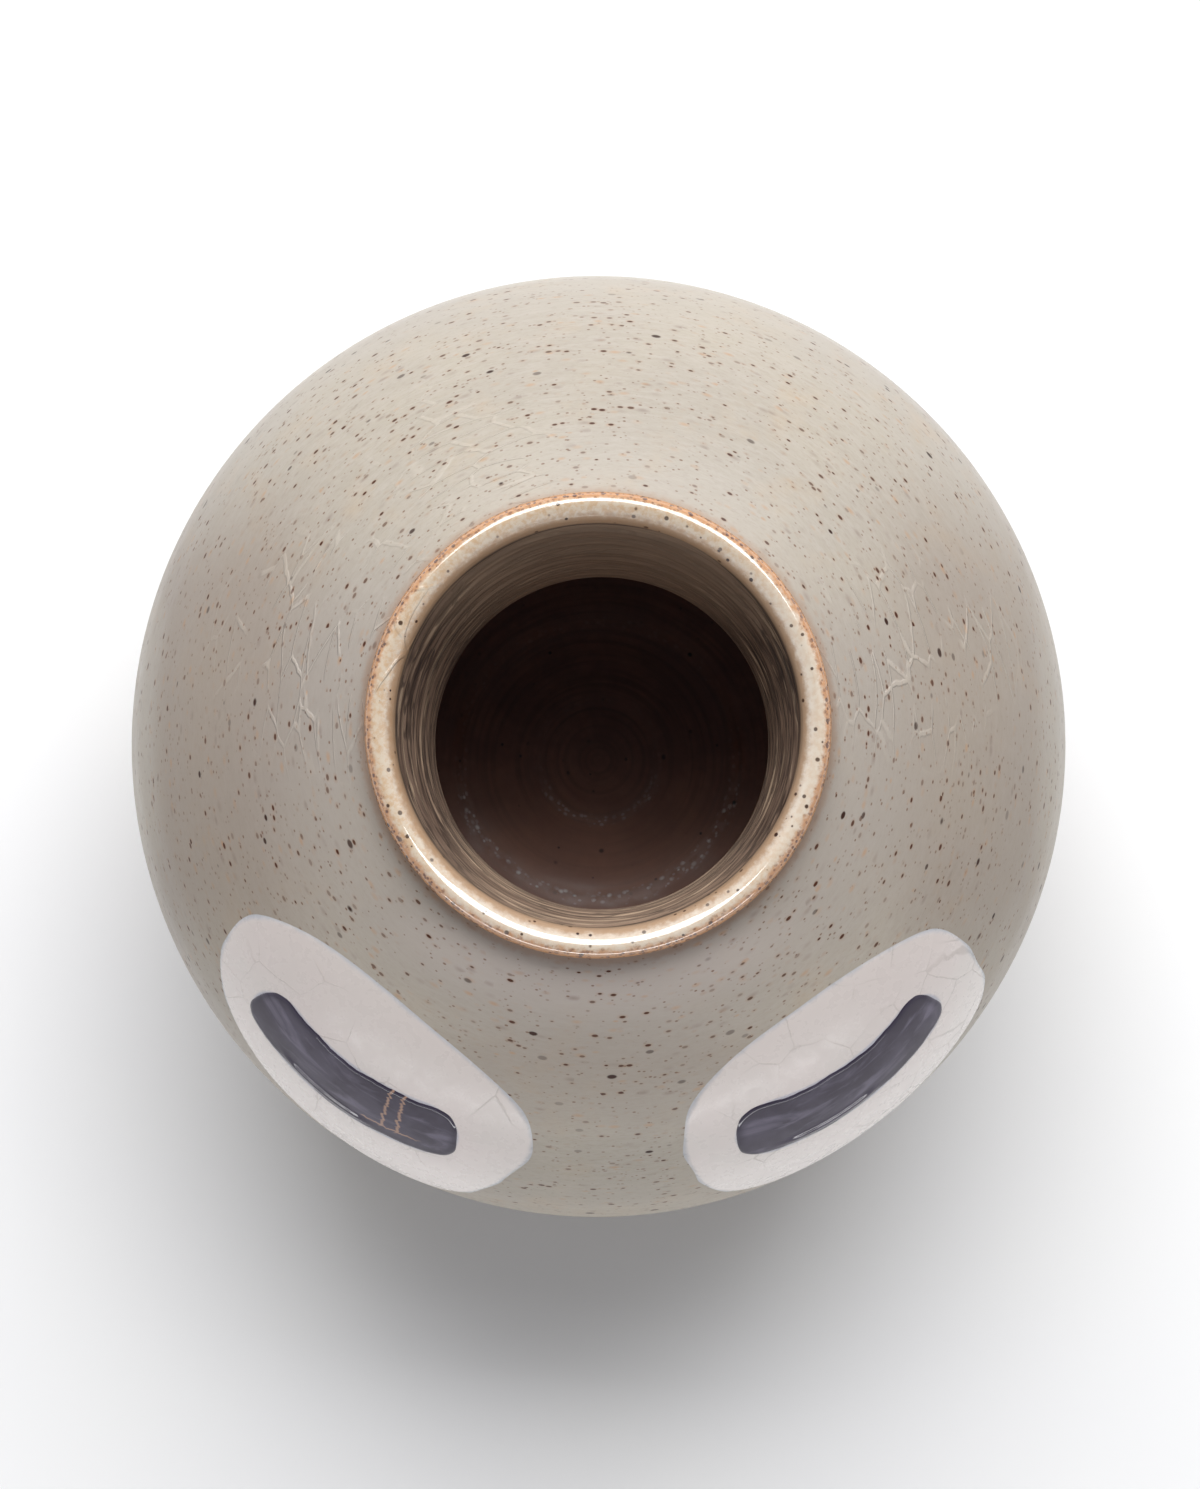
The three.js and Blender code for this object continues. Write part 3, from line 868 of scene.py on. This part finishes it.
def slate_glaze(name, cracked):
    """Glaze of a bar, streaked along the brush stroke."""
    s = Surface(name, SLATE)
    edge = s.attribute("edge")
    along = s.attribute("along")
    across = s.attribute("across")
    brush = s.combine(s.times(along, 0.12), s.times(across, 0.5), 0.0)
    streak = s.noise(brush, 1.0, 4.0, 0.6, 0.6)
    cloud = s.noise(s.place, 0.22, 3.0)
    glaze = s.mix(s.ramp(cloud, 0.35, 0.68), "slate", "light_slate")
    glaze = s.mix(s.ramp(streak, 0.46, 0.70, 0.0, 0.75), glaze, "streaks")
    glaze = s.mix(s.ramp(edge, 1.3, 0.1, 0.0, 0.75), glaze, "edge")
    if cracked:
        glaze = s.mix(s.times(bar_cracks(s, along, across), 0.75), glaze, "cracks")
    s.set(Base_Color=glaze)
    s.set(Roughness=s.ramp(streak, 0.3, 0.7, 0.03, 0.06))
    s.set(IOR=1.45)
    s.bump(s.times(cloud, 0.02))
    return s.material


def table_top():
    s = Surface("table_top", TABLE)
    grain = s.noise(s.place, 0.02, 3.0)
    s.set(Base_Color=s.mix(s.ramp(grain, 0.3, 0.7), "white", "bright_white"))
    s.set(Roughness=s.ramp(grain, 0.3, 0.7, 0.62, 0.7))
    s.set(Specular_IOR_Level=0.2)
    return s.material


def belly_profile(angle):
    """Thrown body, the same at each angle, with a level land round its opening."""
    land = np.array([[OPENING_RADIUS, SEAT_LEVEL], [OPENING_RADIUS, OPENING_LEVEL]])
    return np.vstack([[[0.0, FOOT_HEIGHT]], BOWL, SHOULDER[1:], land, INSIDE_DOME, inside_bowl(60)[1:]])


def foot_profile(angle):
    """Ring with its corners rounded by wear."""
    inner = FOOT_RADIUS - FOOT_WIDTH
    foot = FOOT_RADIUS - FOOT_TAPER
    wear = FOOT_WEAR + waves(angle, FOOT_WEAR_WAVES)
    outer_corner = run(8, lambda t: (foot - wear + wear * math.sin(t * math.pi / 2),
                                     wear - wear * math.cos(t * math.pi / 2)))
    inner_corner = run(8, lambda t: (inner + wear - wear * math.cos(t * math.pi / 2),
                                     wear - wear * math.sin(t * math.pi / 2)))
    side = run(10, lambda t: (foot + FOOT_TAPER * t - FOOT_HOLLOW * math.sin(t * math.pi),
                              wear + (FOOT_HEIGHT - wear) * t))
    back = run(4, lambda t: (inner, FOOT_HEIGHT + (wear - FOOT_HEIGHT) * t))
    return np.vstack([outer_corner, side[1:], back, inner_corner[1:]])


def collar_profile(angle):
    """Collar with the throwing rings that the fingers left in its bore."""
    bore = run(150, bore_curve)
    depth = LIP_SPRING - bore[:, 1]
    below = smooth_step(*RINGS_BEGIN, depth) * smooth_step(BORE_DEPTH, BORE_DEPTH - RINGS_FADE, depth)
    uneven = BORE_SETBACK + BORE_WAVER * np.sin(5 * angle + depth)
    for height, pitch, turns in BORE_RINGS:
        uneven += height * np.sin(2 * math.pi * depth / pitch + turns * angle)
    off_centre = THROAT_OFFSET[0] * math.cos(angle) + THROAT_OFFSET[1] * math.sin(angle)
    bore[:, 0] += below * uneven + off_centre * depth / BORE_DEPTH
    throat = THROAT_RADIUS + off_centre
    tip = np.array([[throat + THROAT_WEAR, THROAT_LEVEL], [throat + THROAT_EDGE, THROAT_LEVEL]])
    spigot = np.array([[SPIGOT_RADIUS, OPENING_LEVEL], [SPIGOT_RADIUS, SEAT_LEVEL]])
    return np.vstack([NECK, bore[1:], tip, spigot])


def coat_profile(angle):
    """Glaze skin that thickens to a soft bead at its lower end and thins out in the bore."""
    start = GLAZE_ANGLE + waves(angle, GLAZE_LINE_WAVES)
    bowl = run(80, lambda t: bowl_point(start * (1 - t)))
    end = GLAZE_END * (1 + waves(angle, GLAZE_END_WAVES))
    bore = run(14, lambda t: bore_curve(end * t))
    clay = join(bowl, SHOULDER, NECK, bore)
    along = lengths_along(clay)
    left = along[-1] - along
    bead = 1 + GLAZE_BEAD * hump(along, GLAZE_BEAD_PLACE, GLAZE_ROUNDING)
    rounded = quarter_round(along / GLAZE_ROUNDING) * quarter_round(left / GLAZE_ROUNDING)
    level = clay[:, 1]
    thrown = smooth_step(SEAT_LEVEL + 1, SEAT_LEVEL - 6, level)
    throwing = thrown * np.sin(1.2 * level + 0.8 * math.sin(angle)) - 1
    thickness = GLAZE_THICKNESS * bead * rounded + GLAZE_RINGS * throwing
    outside = offset(clay, SKIN_GAP + thickness)
    back = offset(clay, SKIN_GAP - GLAZE_RINGS)
    return np.vstack([outside, back[::-4]])


def liner_profile(angle):
    """Dark coat of the inside, with the low steps of a thrown floor."""
    inside = join(INSIDE_DOME, inside_bowl(160))
    face = offset(inside, SKIN_GAP + LINER_THICKNESS)
    face[-1, 0] = 0.0
    radius = face[:, 0]
    on_floor = inside[:, 1] < BELLY_LEVEL - 10
    drift = waves(angle, STEP_DRIFT)
    broken = 1 + waves(angle, STEP_BREAKS)
    for ring, rise, width in LINER_STEPS:
        face[:, 1] += on_floor * broken * rise * (1 + np.tanh((radius - ring - drift) / width)) / 2
    walls = smooth_step(30.0, 40.0, radius)
    face[:, 0] -= walls * INSIDE_RINGS * (1 + np.sin(1.1 * face[:, 1] + angle))
    back = offset(inside, SKIN_GAP)
    back[-1, 0] = 0.0
    return np.vstack([back[::-1], face])


class PanelFrame:
    """Place on the outer coat: level, up the slope and square to the coat, then rolled in its plane."""

    def __init__(self, azimuth, roll):
        turn = math.radians(azimuth)
        out = np.array([math.sin(turn), -math.cos(turn), 0.0])
        up = np.array([0.0, 0.0, 1.0])
        self.normal = out * math.cos(PANEL_TILT) + up * math.sin(PANEL_TILT)
        level = np.array([math.cos(turn), math.sin(turn), 0.0])
        slope = np.cross(self.normal, level)
        lean = math.radians(roll)
        self.level = level * math.cos(lean) + slope * math.sin(lean)
        self.slope = slope * math.cos(lean) - level * math.sin(lean)
        self.centre = out * PANEL_RADIUS + up * (BELLY_LEVEL + PANEL_RISE)

    def on_coat(self, flat, lift):
        """Points of a flat outline laid on the coat and raised off it."""
        middle = np.array([0.0, 0.0, BELLY_LEVEL])
        shrink = np.array([1 / BELLY_RADIUS, 1 / BELLY_RADIUS, 1 / SHOULDER_RISE])
        start = self.centre + flat[:, :1] * self.level + flat[:, 1:] * self.slope - middle
        a = start * shrink
        b = self.normal * shrink
        half = a @ b
        square = b @ b
        reach = (-half + np.sqrt(half ** 2 - square * (np.sum(a * a, axis=1) - 1))) / square
        surface = start + reach[:, None] * self.normal
        outward = surface * shrink ** 2
        outward /= np.linalg.norm(outward, axis=1, keepdims=True)
        return surface + middle + outward * np.reshape(lift, (-1, 1))

    def flattened(self, points):
        """Flat places of points on the coat."""
        away = points - self.centre
        return np.column_stack([away @ self.level, away @ self.slope])


def bar_half_width(side, along):
    """Half the width of a bar, which swells and tapers as a brush stroke does."""
    taper, swell = BRUSHED[side]
    share = np.clip(2 * along / BAR_LENGTH, -1.0, 1.0)
    return BAR_WIDTH / 2 * (1 + taper * share + swell * (1 - share ** 2))


def from_bar(side, flat):
    """Distance of flat points from the bar's outline, below zero inside it."""
    around = np.arctan2(flat[:, 0], BAR_CENTRE - flat[:, 1])
    held = np.clip(around, -BAR_SWEEP, BAR_SWEEP)
    nearest = np.column_stack([BAR_BEND * np.sin(held), BAR_CENTRE - BAR_BEND * np.cos(held)])
    return np.linalg.norm(flat - nearest, axis=1) - bar_half_width(side, BAR_BEND * held)


def ring_faces(rings, steps):
    """Quads between rings of points that follow each other."""
    faces = []
    for i in range(rings - 1):
        for j in range(steps):
            beside = (j + 1) % steps
            low = i * steps
            high = low + steps
            faces.append([low + j, low + beside, high + beside, high + j])
    return faces


def closing_faces(base, steps):
    """Faces from the first ring down to the ring below it, and the face that fills the lower ring."""
    faces = [[base + j, base + (j + 1) % steps, (j + 1) % steps, j] for j in range(steps)]
    faces.append([base + j for j in reversed(range(steps))])
    return faces


def panel_outline(side):
    """Rounded oval, uneven as one laid by hand."""
    turn = np.linspace(0.0, 2 * math.pi, PANEL_STEPS, endpoint=False)
    uneven = 1 + waves(turn, PANEL_WAVES[side])
    for order, even_part, odd_part in LAID_BY_HAND[side]:
        uneven += even_part * np.cos(order * turn) + odd_part * np.sin(order * turn)
    for middle, share, width in CORNERS[side]:
        away = np.angle(np.exp(1j * (turn - middle)))
        uneven += share * hump(away, 0.0, width)
    power = 2 / PANEL_FULLNESS
    across = (PANEL_WIDTH / 2 + PANEL_OVERLAP) * signed_power(np.cos(turn), power) * uneven
    up = (PANEL_HEIGHT / 2 + PANEL_OVERLAP) * signed_power(np.sin(turn), power) * uneven
    return np.column_stack([across, up])


def add_panel(side, azimuth, roll, bar_azimuth, material):
    """White glaze oval, a little proud of the coat, with a soft edge."""
    place = PanelFrame(azimuth, roll)
    bar = PanelFrame(bar_azimuth, 0.0)
    steps = PANEL_STEPS
    outline = panel_outline(side)
    ahead = np.roll(outline, -1, axis=0) - np.roll(outline, 1, axis=0)
    ahead /= np.linalg.norm(ahead, axis=1, keepdims=True)
    reach = outline[:, 0] * ahead[:, 1] - outline[:, 1] * ahead[:, 0]
    share = 1 - (1 - np.linspace(0.0, 1.0, PANEL_RINGS + 1)[1:]) ** 1.4
    share = share[::-1, None]
    flat = (share[:, :, None] * outline[None, :, :]).reshape(-1, 2)
    flat = np.vstack([flat, [[0.0, 0.0]]])
    rim = np.append((1 - share) * reach[None, :], PANEL_HEIGHT / 2)
    lift = PANEL_EDGE_RISE * smooth_step(0.0, PANEL_EDGE_WIDTH, rim) - PANEL_RIM_DEPTH
    top = place.on_coat(flat, lift)
    under = place.on_coat(outline, np.full(steps, -PANEL_ROOT))
    points = np.vstack([top, under])
    last = PANEL_RINGS * steps
    inner = last - steps
    faces = ring_faces(PANEL_RINGS, steps)
    faces += [[inner + j, inner + (j + 1) % steps, last] for j in range(steps)]
    faces += closing_faces(last + 1, steps)
    attributes = {
        "rim": np.append(rim, np.zeros(steps)),
        "near_bar": np.append(from_bar(side, bar.flattened(top)), np.full(steps, 9.0)),
    }
    name = "white_panel_" + side
    return add_piece(name, points, faces, material, "panel_" + side, attributes)


def bar_top_faces(steps):
    """Faces of a bar's top: the rings, and the strip and two ends that close the innermost one."""
    faces = ring_faces(BAR_RINGS, steps)
    last = (BAR_RINGS - 1) * steps
    seam = list(range(last, last + steps))
    far = 2 * BAR_SIDE_STEPS + BAR_CAP_STEPS
    for j in range(BAR_SIDE_STEPS):
        faces.append([seam[j], seam[j + 1], seam[far - j - 1], seam[(far - j) % steps]])
    faces.append(seam[BAR_SIDE_STEPS:BAR_SIDE_STEPS + BAR_CAP_STEPS + 1])
    faces.append(seam[far:] + [seam[0]])
    return faces


def add_bar(side, azimuth, material):
    """Brushed bar with a low crown, a bead along its lower side and ends that are nearly square."""
    place = PanelFrame(azimuth, 0.0)
    down = -math.pi / 2
    lower = np.linspace(down - BAR_SWEEP, down + BAR_SWEEP, BAR_SIDE_STEPS, endpoint=False)
    upper = np.linspace(down + BAR_SWEEP, down - BAR_SWEEP, BAR_SIDE_STEPS, endpoint=False)
    right_end = np.full(BAR_CAP_STEPS, down + BAR_SWEEP)
    left_end = np.full(BAR_CAP_STEPS, down - BAR_SWEEP)
    spine_angle = np.concatenate([lower, right_end, upper, left_end])
    steps = len(spine_angle)

    cap = np.linspace(0.0, math.pi, BAR_CAP_STEPS, endpoint=False)
    cap_across = signed_power(np.cos(cap), BAR_END_POWER)
    cap_along = np.sin(cap) ** BAR_END_POWER
    none = np.zeros(BAR_SIDE_STEPS)
    one = np.ones(BAR_SIDE_STEPS)
    outwards = np.concatenate([one, cap_across, -one, -cap_across])
    endwards = np.concatenate([none, cap_along, none, -cap_along])
    radial = np.column_stack([np.cos(spine_angle), np.sin(spine_angle)])
    forward = np.column_stack([-radial[:, 1], radial[:, 0]])
    outward = radial * outwards[:, None] + forward * endwards[:, None]
    spine = BAR_BEND * radial + np.array([0.0, BAR_CENTRE])

    half = bar_half_width(side, BAR_BEND * (spine_angle - down))
    share = np.linspace(0.0, 1.0, BAR_RINGS + 1)[:-1, None] ** 1.5
    turn = np.linspace(0.0, 2 * math.pi, steps, endpoint=False)
    width = half * (1 - share) + waves(turn, BAR_WAVES[side]) * (1 - share) ** 2
    flat = (spine[None, :, :] + width[:, :, None] * outward[None, :, :]).reshape(-1, 2)
    edge = (share * half).reshape(-1)
    across = -(width * outwards[None, :]).reshape(-1)
    along = (BAR_BEND * (spine_angle - down)[None, :] + width * endwards[None, :]).reshape(-1)

    crown = BAR_CROWN * quarter_round(edge / BAR_CROWN_WIDTH)
    lengthwise = smooth_step(*BEAD_REACH, np.abs(along - BEAD_MIDDLE[side]))
    low_side = across + np.tile(half, BAR_RINGS)
    bead = BEAD_HEIGHT * lengthwise * hump(low_side, BEAD_INSET, BEAD_WIDTH)
    top = place.on_coat(flat, BAR_LIFT + crown + bead)
    under = place.on_coat(flat[:steps], np.full(steps, -BAR_ROOT))
    points = np.vstack([top, under])
    faces = bar_top_faces(steps) + closing_faces(BAR_RINGS * steps, steps)
    attributes = {
        "edge": np.append(edge, np.zeros(steps)),
        "along": np.append(along, along[:steps]),
        "across": np.append(across, across[:steps]),
    }
    name = "brushed_bar_" + side
    return add_piece(name, points, faces, material, "bar_" + side, attributes)


def add_turned(name, profile, closed, material, node):
    points, faces = turned(profile, closed)
    return add_piece(name, points, faces, material, node)


def add_table():
    """White table top that carries the vase."""
    half = TABLE_HALF
    mesh = bpy.data.meshes.new("table_top")
    corners = [(-half, -half, 0.0), (half, -half, 0.0), (half, half, 0.0), (-half, half, 0.0)]
    mesh.from_pydata(corners, [], [(0, 1, 2, 3)])
    mesh.materials.append(table_top())
    table = bpy.data.objects.new("table_top", mesh)
    bpy.context.scene.collection.objects.link(table)


def add_light(name, place, target, width, height, radiance, mirrored):
    """Soft box that faces a point, with the brightness of its face."""
    lamp = bpy.data.lights.new(name, "AREA")
    lamp.shape = "RECTANGLE"
    lamp.size = width
    lamp.size_y = height
    lamp.energy = radiance * math.pi * width * height
    light = bpy.data.objects.new(name, lamp)
    light.location = place
    light.visible_glossy = mirrored
    aim = Vector(target) - Vector(place)
    light.rotation_euler = aim.to_track_quat("-Z", "Y").to_euler()
    bpy.context.scene.collection.objects.link(light)


def add_world():
    """White studio room: a soft fill, pale low walls for the gloss and a dim ceiling."""
    world = bpy.data.worlds.new("studio")
    world.use_nodes = True
    room = Nodes(world.node_tree)
    background = room.tree.nodes["Background"]
    room.feed(background.inputs["Color"], ROOM_TINT)
    _, ahead, up = room.apart(room.add("ShaderNodeTexCoord").outputs["Generated"])
    above = room.ramp(up, 0.1, 0.9, FILL_LOW, FILL_HIGH)
    front = room.ramp(ahead, -0.45, -0.95, 0.0, FRONT_FILL)
    back = room.ramp(ahead, 0.45, 0.95, 0.0, BACK_FILL)
    low = room.ramp(up, 0.15, 0.5, 1.0, 0.0)
    fill = room.plus(above, room.times(room.plus(front, back), low))
    walls = room.ramp(up, 0.4, 0.9, WALL_GLEAM, CEILING_GLEAM)
    path = room.add("ShaderNodeLightPath")
    gloss = room.add("ShaderNodeMix")
    room.feed(gloss.inputs[0], path.outputs["Is Glossy Ray"])
    room.feed(gloss.inputs[2], fill)
    room.feed(gloss.inputs[3], walls)
    seen = room.larger(gloss.outputs[0], path.outputs["Is Camera Ray"])
    room.feed(background.inputs["Strength"], seen)
    bpy.context.scene.world = world


def add_camera():
    """Camera of the photograph, almost straight above the mouth."""
    camera = bpy.data.cameras.new("photo_camera")
    camera.sensor_fit = "AUTO"
    camera.sensor_width = CAMERA_SENSOR
    camera.lens = CAMERA_LENS
    camera.clip_start = 0.01
    eye = bpy.data.objects.new("photo_camera", camera)
    eye.location = CAMERA_PLACE
    eye.rotation_euler = (math.radians(CAMERA_TILT), 0.0, 0.0)
    bpy.context.scene.collection.objects.link(eye)
    bpy.context.scene.camera = eye


clay = stoneware_clay()
add_turned("thrown_belly", belly_profile, False, clay, "belly")
add_turned("turned_foot", foot_profile, True, clay, "foot_ring")
add_turned("thrown_collar", collar_profile, True, washed_clay(), "neck_collar")
add_turned("speckled_coat", coat_profile, True, speckled_glaze(), "outer_glaze")
add_turned("dark_coat", liner_profile, False, dark_liner(), "liner_glaze")
white = white_glaze()
add_panel("left", -LEFT_PANEL_AZIMUTH, -LEFT_PANEL_ROLL, -BAR_AZIMUTH, white)
add_panel("right", RIGHT_PANEL_AZIMUTH, RIGHT_PANEL_ROLL, BAR_AZIMUTH, white)
add_bar("left", -BAR_AZIMUTH, slate_glaze("slate_glaze_cracked", True))
add_bar("right", BAR_AZIMUTH, slate_glaze("slate_glaze", False))

add_table()
for box_name, box in SOFT_BOXES.items():
    add_light(box_name, *box)
add_world()
add_camera()
bpy.context.scene.view_settings.view_transform = "Standard"
